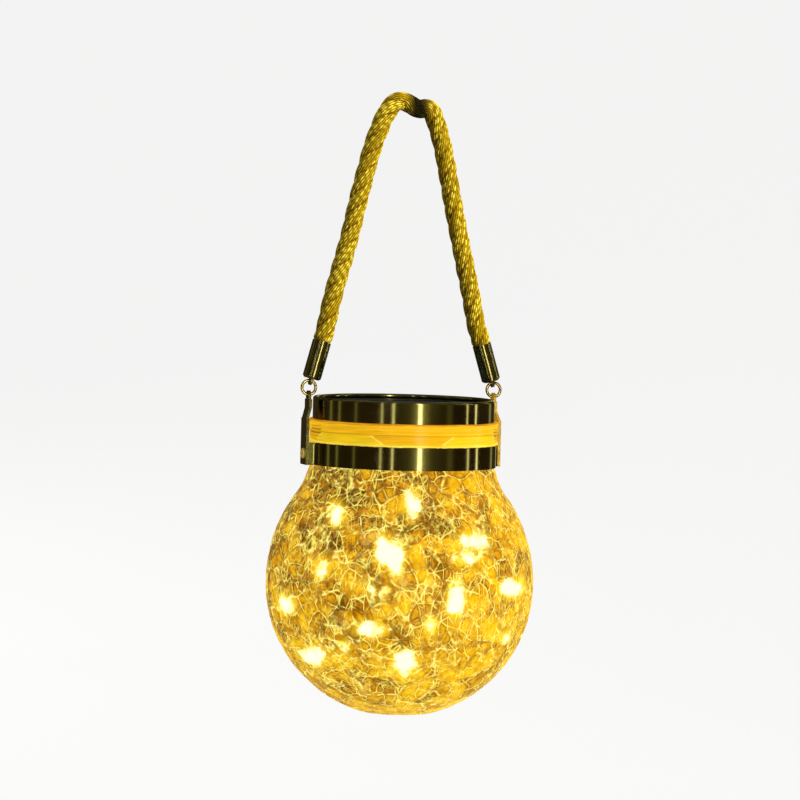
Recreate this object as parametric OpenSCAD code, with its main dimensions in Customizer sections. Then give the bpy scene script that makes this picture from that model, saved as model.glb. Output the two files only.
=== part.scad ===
// Crackled glass jar lantern that hangs from a rope handle.
// Frame: the origin is the underside of the rope's crown, where a hook carries the lantern.
// +Z is up, X runs through the two handle rings and -Y is the front. Millimetres.

/* [Glass jar] */
// Largest outer radius of the globe
globe_r = 63; // [61:0.1:65]
// Height of the globe's upper half, from its widest place to where its ellipse would close
globe_top_h = 67.5; // [64:0.5:70]
// Wall thickness of the glass
glass_t = 2.8; // [2.2:0.1:3.4]
// Outer radius of the straight neck
neck_r = 43; // [42.6:0.1:43.05]
// Radius of the flat foot
foot_r = 17.5; // [12:0.1:20]

/* [Neck band and hangers] */
// Height of the steel band round the neck
band_h = 10.5; // [9:0.1:12]
// Sheet thickness of the band and of the lid's rim
sheet_t = 0.8; // [0.5:0.1:0.8]
// Width of the two hanger straps
strap_w = 10; // [8:0.5:11]
// Thickness of the hanger straps
strap_t = 1.4; // [1:0.1:1.6]

/* [Lid] */
// Outer radius of the steel rim
lid_r = 42.8; // [42.6:0.1:43]
// Height of the steel rim
lid_h = 10.4; // [10:0.1:12]
// Outer radius of the clear collar
collar_r = 44.6; // [44.4:0.1:44.8]
// Height of the visible clear collar
collar_h = 10.8; // [10.6:0.1:11.5]
// Side of the square solar panel
panel_w = 54; // [44:1:56]
// Number of solar cell strips
cell_count = 4; // [2:1:6]

/* [Handle] */
// Diameter of the rope
rope_d = 9; // [8:0.1:9.4]
// Lean of the left ferrule towards the middle, in degrees
left_lean = 15; // [14:0.5:16]
// Lean of the right ferrule towards the middle, in degrees
right_lean = 17; // [16:0.5:18]
// Radius of the wire of the two rings
ring_wire_r = 0.7; // [0.5:0.1:0.7]

/* [Light string] */
// Diameter of the coated wire
wire_d = 0.8; // [0.5:0.1:1]
// Radius of each light bead
bead_r = 1.5; // [1:0.1:2]

/* [Hidden] */
$fn = 96;
// Sides of the band-shaped cut in the thin spacers
spacer_fn = 384;
eps = 0.01;

// Heights of the stack, from the rings down to the foot
ring_z = -127;
left_x = 46.4;
right_x = 43.9;
ring_r = 3.3;
lid_top = ring_z - 4.3;
lid_bottom = lid_top - lid_h;
collar_bottom = lid_bottom - collar_h + 0.3;
band_top = lid_bottom - collar_h;
band_bottom = band_top - band_h;
mouth_z = band_top + 1;
globe_z = -218.5;
foot_z = globe_z - sqrt(globe_r * globe_r - foot_r * foot_r);
foot_t = 3.4;
punt_r = 9;
punt_h = 0.8;
neck_inner_r = neck_r - 3;
band_inner_r = 43.1;
band_r = band_inner_r + sheet_t;

// Hanger straps and the eyes that the rings pass through
eye_hole_r = 1.3;
eye_end_r = 2.4;
eye_drop = ring_r + 0.5;
left_strap_in = 47;
right_strap_in = 45.2;
tongue_w = 8.4;
joggle_top = -136;
joggle_bottom = -141.2;
rivet_r = 1.15;
rivet_hole_r = 1.2;
rivet_z = (band_top + band_bottom) / 2;
lap_start = 187;
lap_angle = 10;

// Ferrules, measured along their own axis from the ring's centre
ferrule_r = 4.4;
ferrule_bore_r = 3.75;
ferrule_foot = 4.2;
ferrule_floor = 7;
ferrule_top = 22.4;
eye_t = 1.2;
eye_up = 3.5;

// Lid stack
plate_top = lid_top - 2.3;
plate_bottom = plate_top - 2.2;
plate_r = 41.9;
flange_top = lid_bottom + 3.3;
flange_bottom = flange_top - 1.2;
housing_r = 36.4;
housing_t = 1.6;
floor_top = -163.2;
floor_bottom = -165;
skirt_r = 38.9;
skirt_in_r = 36.9;
skirt_bottom = -163;
seal_top = mouth_z + 1;
thread_pitch = 3;
lug_top = 5.4;
lug_bottom = 9.6;
lug_depth = 0.6;
gap_top_w = 38;
gap_bottom_w = 28.6;
lug_gap_turn = -100;
boss_r = 2.8;
boss_spots = [[27, 12], [-27, 12], [0, -31]];
screw_r = 0.9;
screw_head_r = 2;

// Solar panel layers
pocket_depth = 1.6;
pocket_floor = plate_top - pocket_depth;
board_top = pocket_floor + 1;
cell_top = board_top + 0.2;
ribbon_top = cell_top + 0.1;
cover_top = plate_top + 0.4;
panel_lead_x = -5;

// Battery, its tray and its door
battery_r = 5.2;
battery_y = -15;
battery_z = -157.4;
battery_x0 = -21.4;
battery_x1 = 22.4;
tray_l = 48.8;
tray_w = 11.4;
tray_wall = 1.4;
tray_top = -155;
contact_top = -151;
door_l = 53;
door_w = 15;
door_t = 1.2;
door_screw_y = -24.9;

// Circuit board and power switch
pcb = [34, 14, 1];
pcb_y = 16.5;
pcb_z = -150;
switch_x = 12;
switch_y = 13;
switch_size = [8.8, 4.4, 3.6];
switch_slot = [6.8, 2.4];
knob_size = [3, 1.8];
knob_x = 10.5;
knob_top = -161;
knob_bottom = -166.6;

// Rope route between the ferrules, as x and z from left to right over the crown
rope_line = [
    [-38.6, -97.5], [-35.8, -84], [-32, -69.7], [-28.3, -55.5], [-25.2, -41.3], [-21.8, -27.1],
    [-18, -12.9], [-15.4, -5.8], [-13.5, -1], [-11.4, 3], [-9, 5.9], [-6.2, 7.6], [-3.2, 7.6],
    [-0.7, 6.2], [1.8, 4.8], [4.7, 4.5], [7.4, 4.6], [9.8, 3], [11.7, -0.4], [13.3, -5.1],
    [15.5, -12.1], [18.7, -26.1], [21.6, -40.1], [24.8, -54.2], [28.1, -68.2], [31.4, -82.2],
    [34.2, -95.5]
];
ferrule_stations = [7.1, 14.6, 21.4, 23.6];

// Light string route as x, y, z and 1 where a bead sits; it is turned about Z by string_turn
string_turn = -16;
string_route = [
    [0, 0, -178, 0], [-8, 12, -181, 0], [-6, 32, -182, 0], [11, 46, -188, 1],
    [38, 30, -190, 0], [47, -4, -188, 0], [32, -32, -184, 0], [5, -44, -181, 1],
    [-30, -38, -187, 1], [-51, -8, -193, 0], [-41, 36, -197, 1], [-13, 50, -204, 1],
    [32, 44, -208, 1], [54, 6, -204, 0], [34, -42, -198, 1], [-3, -54, -204, 1],
    [-16, -50, -196, 1], [-38, -40, -212, 1], [-14, -54, -218, 0], [13, -54, -214, 1],
    [52, -18, -219, 1], [44, 36, -222, 0], [2, 55, -223, 1], [-40, 40, -224, 0],
    [-52, -18, -230, 1], [-16, -54, -229, 0], [27, -48, -224, 1], [51, -16, -235, 0],
    [49, 14, -243, 1], [15, 50, -238, 1], [-26, 46, -243, 1], [-48, 12, -247, 0],
    [-38, -26, -252, 1], [-12, -52, -240, 1], [18, -44, -247, 0], [3, -43, -255, 1],
    [-14, -30, -265, 1], [-24, 4, -268, 0], [-8, 22, -270, 0]
];
lead_top = -163;
lead_r = 0.6;
hookup_r = 0.5;
spring_coil_r = 3;
spring_turns = 3;
spring_wire_r = 0.28;

// ---- Functions ----
function unit(v) = v / norm(v);

function tangent(p, i) =
    i == 0 ? unit(p[1] - p[0])
    : i == len(p) - 1 ? unit(p[i] - p[i - 1])
    : unit(unit(p[i + 1] - p[i]) + unit(p[i] - p[i - 1]));

// A normal at each point, carried along the route so that the tube doesn't twist
function normals(p, start, i = 0, done = []) =
    i == len(p) ? done
    : let(
        t = tangent(p, i),
        last = i == 0 ? start : done[i - 1],
        n = unit(last - t * (last * t))
    ) normals(p, start, i + 1, concat(done, [n]));

// One smooth curve through every point, with steps pieces between neighbours
function spline(p, steps) = concat(
    [for (i = [0:len(p) - 2]) for (j = [0:steps - 1]) spline_point(p, i, j / steps)],
    [p[len(p) - 1]]
);

function spline_point(p, i, t) = let(
    a = p[max(i - 1, 0)],
    b = p[i],
    c = p[i + 1],
    d = p[min(i + 2, len(p) - 1)]
) 0.5 * (2 * b + (c - a) * t + (2 * a - 5 * b + 4 * c - d) * t * t
    + (3 * b - a - 3 * c + d) * t * t * t);

// Points on an ellipse about the axis, as radius and height
function ellipse_arc(rx, rz, z, a0, a1, n) =
    [for (i = [0:n]) let(a = a0 + (a1 - a0) * i / n) [rx * cos(a), z + rz * sin(a)]];

function reversed(p) = [for (i = [len(p) - 1:-1:0]) p[i]];

function turned(p, a) = [p[0] * cos(a) - p[1] * sin(a), p[0] * sin(a) + p[1] * cos(a), p[2]];

// A point on a ferrule's axis; side is -1 for the left ferrule and 1 for the right one
function ferrule_point(side, s) = let(
    x = side < 0 ? left_x : right_x,
    lean = side < 0 ? left_lean : right_lean
) [side * (x - s * sin(lean)), 0, ring_z + s * cos(lean)];

function rope_route() = concat(
    [for (s = ferrule_stations) ferrule_point(-1, s)],
    [for (p = rope_line) [p[0], 0, p[1]]],
    [for (s = reversed(ferrule_stations)) ferrule_point(1, s)]
);

// The rope is squeezed where it sits in a ferrule
function rope_radius(p) = p[2] < ferrule_point(1, 22)[2] ? ferrule_bore_r - 0.05 : rope_d / 2;

// ---- Shared shapes ----
// A tube swept along points, with its own radius at each point
module tube(p, radii, sides = 8, start = [0, 1, 0]) {
    n = normals(p, start);
    count = len(p);
    points = [
        for (i = [0:count - 1])
            let(b = cross(tangent(p, i), n[i]))
                for (k = [0:sides - 1])
                    p[i] + radii[i] * (cos(360 * k / sides) * n[i] + sin(360 * k / sides) * b)
    ];
    walls = [
        for (i = [0:count - 2])
            for (k = [0:sides - 1])
                let(m = (k + 1) % sides)
                    for (f = [
                        [i * sides + k, (i + 1) * sides + k, (i + 1) * sides + m],
                        [i * sides + k, (i + 1) * sides + m, i * sides + m]
                    ]) f
    ];
    near_cap = [for (k = [0:sides - 1]) k];
    far_cap = [for (k = [sides - 1:-1:0]) (count - 1) * sides + k];
    polyhedron(points, concat([near_cap], walls, [far_cap]), convexity = 10);
}

module wire(p, r) {
    tube(p, [for (q = p) r], 8, [0.3, 0.5, 0.8]);
}

module disc(r, z, h) {
    translate([0, 0, z])
        cylinder(r = r, h = h);
}

module annulus(r_out, r_in, z, h) {
    difference() {
        disc(r_out, z, h);
        disc(r_in, z - 1, h + 2);
    }
}

module block(x, y, z, size) {
    translate([x - size[0] / 2, y - size[1] / 2, z])
        cube(size);
}

module x_cylinder(r, x0, x1, y, z) {
    translate([x0, y, z])
        rotate([0, 90, 0])
            cylinder(r = r, h = x1 - x0);
}

// A pan-head screw that points up from z, with its head below
module screw_up(x, y, z, head_h, length) {
    translate([x, y, 0]) {
        disc(screw_head_r, z - head_h, head_h);
        disc(screw_r, z - eps, length);
    }
}

// ---- Handle ----
module rope() {
    route = rope_route();
    color("goldenrod")
        tube(route, [for (p = route) rope_radius(p)], 10);
}

module ferrule_body(x, lean) {
    eye_s = eye_up / cos(lean);
    difference() {
        translate([x, 0, ring_z])
            rotate([0, -lean, 0])
                union() {
                    rotate_extrude()
                        polygon([
                            [0, ferrule_foot], [ferrule_r - 0.9, ferrule_foot],
                            [ferrule_r, ferrule_foot + 0.9], [ferrule_r, ferrule_top],
                            [ferrule_bore_r, ferrule_top], [ferrule_bore_r, ferrule_floor],
                            [0, ferrule_floor]
                        ]);
                    x_cylinder(eye_end_r, -eye_t / 2, eye_t / 2, 0, eye_s);
                    block(0, 0, eye_s, [eye_t, 2 * eye_end_r, ferrule_foot - eye_s + 1]);
                }
        x_cylinder(eye_hole_r, x - 5, x + 3.2, 0, ring_z + eye_up);
    }
}

module right_ferrule() {
    color("darkgoldenrod")
        ferrule_body(right_x, right_lean);
}

module left_ferrule() {
    color("darkgoldenrod")
        mirror([1, 0, 0])
            ferrule_body(left_x, left_lean);
}

module ring_body(x) {
    translate([x, 0, ring_z])
        rotate([90, 0, 0])
            rotate_extrude()
                translate([ring_r, 0])
                    circle(r = ring_wire_r, $fn = 32);
}

module right_ring() {
    color("gold")
        ring_body(right_x);
}

module left_ring() {
    color("gold")
        ring_body(-left_x);
}

// ---- Jar ----
module glass_jar() {
    foot_angle = acos(foot_r / globe_r);
    inner_r = globe_r - glass_t;
    inner_floor = foot_z + foot_t;
    inner_angle = asin((globe_z - inner_floor) / inner_r);
    outside = concat(
        [[neck_inner_r, mouth_z], [neck_r, mouth_z], [neck_r, band_bottom - 0.4],
         [44.2, band_bottom - 2], [45.2, band_bottom - 6]],
        ellipse_arc(globe_r, globe_top_h, globe_z, 40, 0, 14),
        ellipse_arc(globe_r, globe_r, globe_z, -3, -foot_angle, 22),
        [[punt_r, foot_z], [punt_r - 2, foot_z + punt_h], [0, foot_z + punt_h]]
    );
    inside = concat(
        [[neck_inner_r, band_bottom - 2], [42, band_bottom - 7]],
        ellipse_arc(inner_r, globe_top_h - glass_t, globe_z, 40, 0, 14),
        ellipse_arc(inner_r, inner_r, globe_z, -3, -inner_angle, 22),
        [[0, inner_floor]]
    );
    color([0.95, 0.65, 0.15, 0.6])
        rotate_extrude()
            polygon(concat(outside, reversed(inside)));
}

module neck_band() {
    color("darkkhaki")
        difference() {
            union() {
                annulus(band_r, band_inner_r, band_bottom, band_h);
                rotate([0, 0, lap_start])
                    rotate_extrude(angle = lap_angle)
                        translate([band_r - 0.1, band_bottom + 0.3])
                            square([0.8, band_h - 0.6]);
            }
            x_cylinder(rivet_hole_r, -50, 50, 0, rivet_z);
        }
}

module hanger_body(x, strap_in) {
    eye_z = ring_z - eye_drop;
    tongue_in = x - strap_t / 2;
    difference() {
        intersection() {
            translate([0, strap_w, 0])
                rotate([90, 0, 0])
                    linear_extrude(2 * strap_w)
                        polygon([
                            [tongue_in, ring_z], [tongue_in + strap_t, ring_z],
                            [tongue_in + strap_t, joggle_top - 0.5],
                            [strap_in + strap_t, joggle_bottom - 0.5],
                            [strap_in + strap_t, band_bottom], [strap_in, band_bottom],
                            [strap_in, joggle_bottom], [tongue_in, joggle_top]
                        ]);
            union() {
                block(50, 0, band_bottom - 1, [20, strap_w, joggle_bottom - band_bottom + 1]);
                block(50, 0, band_bottom, [20, tongue_w, eye_z - band_bottom - 1.6]);
                x_cylinder(eye_end_r, 40, 60, 0, eye_z);
                block(50, 0, eye_z - 3, [20, 2 * eye_end_r, 3]);
            }
        }
        x_cylinder(eye_hole_r, 40, 60, 0, eye_z);
        x_cylinder(rivet_hole_r, 40, 60, 0, rivet_z);
    }
}

module right_hanger() {
    color("darkgoldenrod")
        hanger_body(right_x, right_strap_in);
}

module left_hanger() {
    color("darkgoldenrod")
        mirror([1, 0, 0])
            hanger_body(left_x, left_strap_in);
}

// The block that fills the space between the round band and the flat strap
module spacer_body(strap_in) {
    difference() {
        block((40 + strap_in) / 2, 0, band_bottom, [strap_in - 40, strap_w, band_h]);
        disc(band_r + 0.04, band_bottom - 1, band_h + 2, $fn = spacer_fn);
        x_cylinder(rivet_hole_r, 40, 60, 0, rivet_z);
    }
}

module right_spacer() {
    color("olive")
        spacer_body(right_strap_in);
}

module left_spacer() {
    color("olive")
        mirror([1, 0, 0])
            spacer_body(left_strap_in);
}

module rivet_body(strap_in) {
    face = strap_in + strap_t;
    translate([face, 0, rivet_z])
        rotate([0, 90, 0])
            rotate_extrude()
                polygon([
                    [0, band_inner_r + 0.2 - face], [rivet_r, band_inner_r + 0.2 - face],
                    [rivet_r, 0], [2.4, 0], [2.4, 0.4], [1.6, 1], [0, 1.2]
                ]);
}

module hanger_rivets() {
    color("khaki") {
        rivet_body(right_strap_in);
        mirror([1, 0, 0])
            rivet_body(left_strap_in);
    }
}

// ---- Light string ----
module light_wire() {
    route = [for (p = string_route) turned(p, string_turn)];
    smooth = spline(route, 2);
    color("peru")
        tube(smooth, [for (p = smooth) wire_d / 2], 8, [1, 0, 0]);
}

module led_beads() {
    color("lightyellow")
        for (p = string_route)
            if (p[3] == 1)
                translate(turned(p, string_turn))
                    sphere(r = bead_r, $fn = 24);
}

module lead_wire() {
    color("wheat")
        wire([[0, 0, lead_top], [0, 0, -168], [0, 0, string_route[0][2] + wire_d / 2]], lead_r);
}

// ---- Lid ----
module lid_seal() {
    color("white")
        annulus(neck_r - 0.2, neck_inner_r + 0.2, mouth_z, seal_top - mouth_z);
}

module lid_rim() {
    bead = 1.1;
    color("darkkhaki")
        rotate_extrude() {
            translate([lid_r - sheet_t, lid_bottom])
                square([sheet_t, lid_h - bead]);
            translate([lid_r - bead, lid_top - bead])
                circle(r = bead, $fn = 32);
        }
}

// One of the gaps between the raised lugs of the collar, wider at its top
module lug_gap() {
    intersection() {
        rotate([90, 0, 90])
            linear_extrude(60)
                polygon([
                    [-gap_bottom_w / 2, lid_bottom - lug_bottom], [gap_bottom_w / 2, lid_bottom - lug_bottom],
                    [gap_top_w / 2, lid_bottom - lug_top], [-gap_top_w / 2, lid_bottom - lug_top]
                ]);
        annulus(collar_r + 5, collar_r - lug_depth, lid_bottom - collar_h, collar_h);
    }
}

module clear_collar() {
    top = lid_bottom;
    groove = 0.45;
    threads = [
        for (i = [2:-1:0])
            let(z = mouth_z - 3.6 - i * thread_pitch)
                for (q = [[skirt_r, z - 1.1], [skirt_r + 0.6, z - 0.3], [skirt_r + 0.6, z + 0.3],
                          [skirt_r, z + 1.1]]) q
    ];
    grooves = [
        for (z = [top - 3.9, top - 2.2])
            for (q = [[collar_r, z - 0.5], [collar_r - groove, z - 0.15],
                      [collar_r - groove, z + 0.15], [collar_r, z + 0.5]]) q
    ];
    color([1, 0.8, 0.25, 0.6])
        difference() {
            rotate_extrude()
                polygon(concat(
                    [[skirt_in_r, flange_bottom], [skirt_in_r, skirt_bottom], [skirt_r, skirt_bottom]],
                    threads,
                    [[skirt_r, seal_top], [43.3, seal_top], [43.3, collar_bottom],
                     [collar_r, collar_bottom]],
                    grooves,
                    [[collar_r, top - 0.6], [collar_r - 0.6, top], [plate_r, top],
                     [plate_r, flange_bottom]]
                ));
            for (i = [0:3])
                rotate([0, 0, lug_gap_turn + 90 * i])
                    lug_gap();
        }
}

module top_plate() {
    color("dimgray")
        difference() {
            union() {
                disc(plate_r, plate_bottom, plate_top - plate_bottom);
                annulus(plate_r, plate_r - 1.9, flange_top, plate_bottom - flange_top + eps);
                for (p = boss_spots)
                    translate([p[0], p[1], 0])
                        disc(boss_r, floor_top, plate_bottom - floor_top + eps);
            }
            block(0, 0, pocket_floor, [panel_w + 0.4, panel_w + 0.4, 5]);
            block(panel_lead_x, 10, plate_bottom - 1, [4, 3, 5]);
            for (p = boss_spots)
                translate([p[0], p[1], 0])
                    disc(screw_r, floor_top - 1, 14);
        }
}

module solar_board() {
    color("darkgreen")
        block(0, 0, pocket_floor, [panel_w, panel_w, board_top - pocket_floor]);
}

module solar_cells() {
    margin = 2.5;
    gap = 0.8;
    pitch = (panel_w - 2 * margin) / cell_count;
    color("midnightblue")
        for (i = [0:cell_count - 1])
            block(-panel_w / 2 + margin + pitch * (i + 0.5), 0, board_top,
                [pitch - gap, panel_w - 2 * margin, cell_top - board_top]);
}

module cell_ribbons() {
    margin = 2.5;
    pitch = (panel_w - 2 * margin) / cell_count;
    color("silver")
        for (i = [0:cell_count - 1])
            block(-panel_w / 2 + margin + pitch * (i + 0.5), 0, cell_top,
                [1, panel_w - 2 * margin - 2, ribbon_top - cell_top]);
}

module panel_cover() {
    color([0.6, 0.75, 0.9, 0.4])
        block(0, 0, ribbon_top, [panel_w, panel_w, cover_top - ribbon_top]);
}

module lid_housing() {
    color("whitesmoke")
        difference() {
            union() {
                difference() {
                    union() {
                        disc(housing_r, floor_bottom, flange_top - floor_bottom);
                        disc(plate_r, flange_bottom, flange_top - flange_bottom);
                    }
                    disc(housing_r - housing_t, floor_top, 40);
                }
                block(0, battery_y, floor_top - eps,
                    [tray_l + 2 * tray_wall, tray_w + 2 * tray_wall, tray_top - floor_top]);
                translate([0, door_screw_y, 0])
                    disc(2.4, floor_top - eps, 5);
                for (x = [-15, 15])
                    translate([x, pcb_y + 4, 0])
                        disc(1.4, floor_top - eps, pcb_z - floor_top + eps);
            }
            block(0, battery_y, floor_bottom - 1, [tray_l, tray_w, 20]);
            disc(2.15, floor_bottom - 1, 4);
            block(switch_x, switch_y, floor_bottom - 1, [switch_slot[0], switch_slot[1], 4]);
            for (p = boss_spots)
                translate([p[0], p[1], 0])
                    disc(screw_r + 0.2, floor_bottom - 1, 4);
            translate([0, door_screw_y, 0])
                disc(screw_r, floor_bottom - 1, 8);
        }
}

module housing_screws() {
    color("lightgray")
        for (p = boss_spots)
            screw_up(p[0], p[1], floor_bottom, 1.1, 13);
}

module circuit_board() {
    color("seagreen")
        block(0, pcb_y, pcb_z, pcb);
}

// The charge chip, coil, capacitor and three resistors on the board
module board_parts() {
    top = pcb_z + pcb[2];
    color("dimgray")
        block(-9, pcb_y + 1, top, [5, 4, 1.6]);
    color("darkolivegreen")
        translate([1, pcb_y + 1, 0])
            disc(2.5, top, 3.4);
    color("steelblue")
        translate([9, pcb_y + 1.5, 0])
            disc(2.2, top, 4.6);
    color("black")
        for (i = [0:2])
            block(-12 + 4 * i, pcb_y + 5, top, [2, 1.2, 0.6]);
}

module battery() {
    color("seagreen") {
        x_cylinder(battery_r, battery_x0, battery_x1, battery_y, battery_z);
        x_cylinder(1.9, battery_x1 - eps, battery_x1 + 1.1, battery_y, battery_z);
    }
}

module battery_spring() {
    plate_x = -tray_l / 2 + 0.4;
    travel = battery_x0 - plate_x - 2 * spring_wire_r;
    coil = [
        for (i = [0:12 * spring_turns])
            let(a = 30 * i, f = i / (12 * spring_turns))
                [plate_x + spring_wire_r + travel * f,
                 battery_y + (spring_coil_r - f) * cos(a),
                 battery_z + (spring_coil_r - f) * sin(a)]
    ];
    color("silver") {
        translate([-tray_l / 2, battery_y - 4, battery_z - 4.6])
            cube([0.45, 8, contact_top - battery_z + 4.6]);
        tube(coil, [for (p = coil) spring_wire_r], 6, [1, 0, 0]);
    }
}

module battery_plate() {
    color("silver")
        translate([battery_x1 + 1.2, battery_y - 4, battery_z - 4.6])
            cube([0.5, 8, contact_top - battery_z + 4.6]);
}

module battery_door() {
    color("gainsboro")
        difference() {
            union() {
                block(0, battery_y, floor_bottom - door_t, [door_l, door_w, door_t]);
                translate([0, door_screw_y, 0])
                    disc(3, floor_bottom - door_t, door_t);
            }
            translate([0, door_screw_y, 0])
                disc(screw_r + 0.2, floor_bottom - door_t - 1, door_t + 2);
            for (i = [-2:2])
                block(18 + 1.6 * i, battery_y, floor_bottom - door_t - 1, [0.8, 8, 1.4]);
        }
}

module door_screw() {
    color("lightgray")
        screw_up(0, door_screw_y, floor_bottom - door_t, 1, 7);
}

module switch_body() {
    color("black")
        difference() {
            block(switch_x, switch_y, floor_top, switch_size);
            block(switch_x, switch_y, floor_top - 1, [switch_slot[0], switch_slot[1], 3.6]);
        }
}

module switch_knob() {
    color("white")
        block(knob_x, switch_y, knob_bottom, [knob_size[0], knob_size[1], knob_top - knob_bottom]);
}

module panel_leads() {
    for (i = [0, 1])
        color(i == 0 ? "red" : "black")
            wire([
                [panel_lead_x - 0.8 + 1.6 * i, 12, pcb_z + pcb[2]],
                [panel_lead_x - 0.8 + 1.6 * i, 12.4, -144],
                [panel_lead_x - 0.8 + 1.6 * i, 10.4, -140],
                [panel_lead_x - 0.8 + 1.6 * i, 10, pocket_floor]
            ], hookup_r);
}

module battery_leads() {
    for (side = [-1, 1]) {
        x0 = side < 0 ? -tray_l / 2 + 0.2 : battery_x1 + 1.45;
        color(side < 0 ? "black" : "red")
            wire([
                [x0, battery_y, contact_top], [x0, battery_y, contact_top + 1.5],
                [x0, battery_y + 2, contact_top + 4], [side * 21, -4, -145.4],
                [side * 17, 8, -144.6], [side * 15, 12, pcb_z + 4], [side * 15, 12, pcb_z + pcb[2]]
            ], hookup_r);
    }
}

module lead_grommet() {
    color("black")
        difference() {
            union() {
                disc(3.4, floor_bottom - 1.2, 1.2);
                disc(2.1, floor_bottom - eps, floor_top - floor_bottom + 2 * eps);
                disc(3.2, floor_top, 1);
            }
            disc(0.8, floor_bottom - 2, 6);
        }
}

module lead_tail() {
    color("wheat")
        wire([[0, 0, lead_top], [0, 0, -159], [0.6, 2.6, -156], [2.4, 8, -153.4],
              [3, 11, -151.6], [3, 11, pcb_z]], lead_r);
}

rope();
left_ferrule();
right_ferrule();
left_ring();
right_ring();
glass_jar();
neck_band();
left_hanger();
right_hanger();
left_spacer();
right_spacer();
hanger_rivets();
light_wire();
led_beads();
lead_wire();
lid_seal();
lid_rim();
clear_collar();
top_plate();
solar_board();
solar_cells();
cell_ribbons();
panel_cover();
lid_housing();
housing_screws();
circuit_board();
board_parts();
battery();
battery_spring();
battery_plate();
battery_door();
door_screw();
switch_body();
switch_knob();
panel_leads();
battery_leads();
lead_grommet();
lead_tail();
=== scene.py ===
"""Looks of the crackled glass jar lantern, around its CAD frame. Metres, +Z up, -Y the front."""
import math

import bmesh
import bpy
import numpy as np
from mathutils import Matrix, Vector, kdtree


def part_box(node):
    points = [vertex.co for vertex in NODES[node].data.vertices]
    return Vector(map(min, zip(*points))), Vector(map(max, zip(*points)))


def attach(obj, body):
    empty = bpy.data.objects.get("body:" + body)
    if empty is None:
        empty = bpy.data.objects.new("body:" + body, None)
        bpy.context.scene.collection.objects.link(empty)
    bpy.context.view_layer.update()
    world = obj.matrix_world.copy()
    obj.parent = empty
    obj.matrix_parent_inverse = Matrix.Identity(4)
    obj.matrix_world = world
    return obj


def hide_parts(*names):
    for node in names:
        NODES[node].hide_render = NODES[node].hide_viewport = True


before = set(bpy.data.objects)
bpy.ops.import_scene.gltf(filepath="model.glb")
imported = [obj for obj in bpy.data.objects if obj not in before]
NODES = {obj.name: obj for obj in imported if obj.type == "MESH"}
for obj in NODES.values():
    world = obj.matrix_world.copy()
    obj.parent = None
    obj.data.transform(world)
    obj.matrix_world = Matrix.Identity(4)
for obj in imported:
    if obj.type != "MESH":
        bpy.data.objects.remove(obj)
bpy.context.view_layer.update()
MM = 0.001
RNG_SEED = 7


def middle_of(node):
    lo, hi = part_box(node)
    return (lo + hi) / 2


# ---- Places taken from the frame; side is -1 on the left and 1 on the right ----
RINGS = {-1: middle_of("left_ring"), 1: middle_of("right_ring")}
JAR_LO, JAR_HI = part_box("glass_jar")
BAND_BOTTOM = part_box("neck_band")[0].z
LID_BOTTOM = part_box("lid_rim")[0].z

# ---- The jar's own measures ----
GLOBE_R = JAR_HI.x
GLOBE_Z = -218.5 * MM
GLOBE_TOP_H = 67.5 * MM
GLASS_T = 2.8 * MM
NECK_R = 43.0 * MM
FOOT_R = 17.5 * MM
# The mouth stands this much below the seal, so that the two faces don't coincide
MOUTH_GAP = 0.06 * MM

# Where the first gap between the collar's lugs sits round the lid, in degrees
LUG_TURN = -100.0

# ---- Camera ----
CAMERA_AZIMUTH = -16.0
CAMERA_ELEVATION = 2.6
CAMERA_ROLL = 1.45
CAMERA_DISTANCE = 2.0
VIEW_WIDTH = 0.376
TARGET = Vector((0, 0, -0.1324))
TARGET_LEFT = 0.0019

# ---- Cord routes: the same points as the CAD's, in mm ----
# Each ferrule's lean, and the rope's stations along it from the ring upwards
FERRULE_LEAN = {-1: math.radians(15), 1: math.radians(17)}
FERRULE_STATIONS = (7.1, 14.6, 21.4, 23.6)
FERRULE_TOP = 22.4 * MM
# x and z of the rope's middle between the two ferrules
ROPE_LINE = [
    (-38.6, -97.5), (-35.8, -84), (-32, -69.7), (-28.3, -55.5), (-25.2, -41.3), (-21.8, -27.1),
    (-18, -12.9), (-15.4, -5.8), (-13.5, -1), (-11.4, 3), (-9, 5.9), (-6.2, 7.6), (-3.2, 7.6),
    (-0.7, 6.2), (1.8, 4.8), (4.7, 4.5), (7.4, 4.6), (9.8, 3), (11.7, -0.4), (13.3, -5.1),
    (15.5, -12.1), (18.7, -26.1), (21.6, -40.1), (24.8, -54.2), (28.1, -68.2), (31.4, -82.2),
    (34.2, -95.5),
]
STRING_TURN = math.radians(-16)
WIRE_D = 0.8 * MM
# x, y and z along the string's own axes, and 1 where a bead sits
STRING_ROUTE = [
    (0, 0, -178, 0), (-8, 12, -181, 0), (-6, 32, -182, 0), (11, 46, -188, 1),
    (38, 30, -190, 0), (47, -4, -188, 0), (32, -32, -184, 0), (5, -44, -181, 1),
    (-30, -38, -187, 1), (-51, -8, -193, 0), (-41, 36, -197, 1), (-13, 50, -204, 1),
    (32, 44, -208, 1), (54, 6, -204, 0), (34, -42, -198, 1), (-3, -54, -204, 1),
    (-16, -50, -196, 1), (-38, -40, -212, 1), (-14, -54, -218, 0), (13, -54, -214, 1),
    (52, -18, -219, 1), (44, 36, -222, 0), (2, 55, -223, 1), (-40, 40, -224, 0),
    (-52, -18, -230, 1), (-16, -54, -229, 0), (27, -48, -224, 1), (51, -16, -235, 0),
    (49, 14, -243, 1), (15, 50, -238, 1), (-26, 46, -243, 1), (-48, 12, -247, 0),
    (-38, -26, -252, 1), (-12, -52, -240, 1), (18, -44, -247, 0), (3, -43, -255, 1),
    (-14, -30, -265, 1), (-24, 4, -268, 0), (-8, 22, -270, 0),
]
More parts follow.
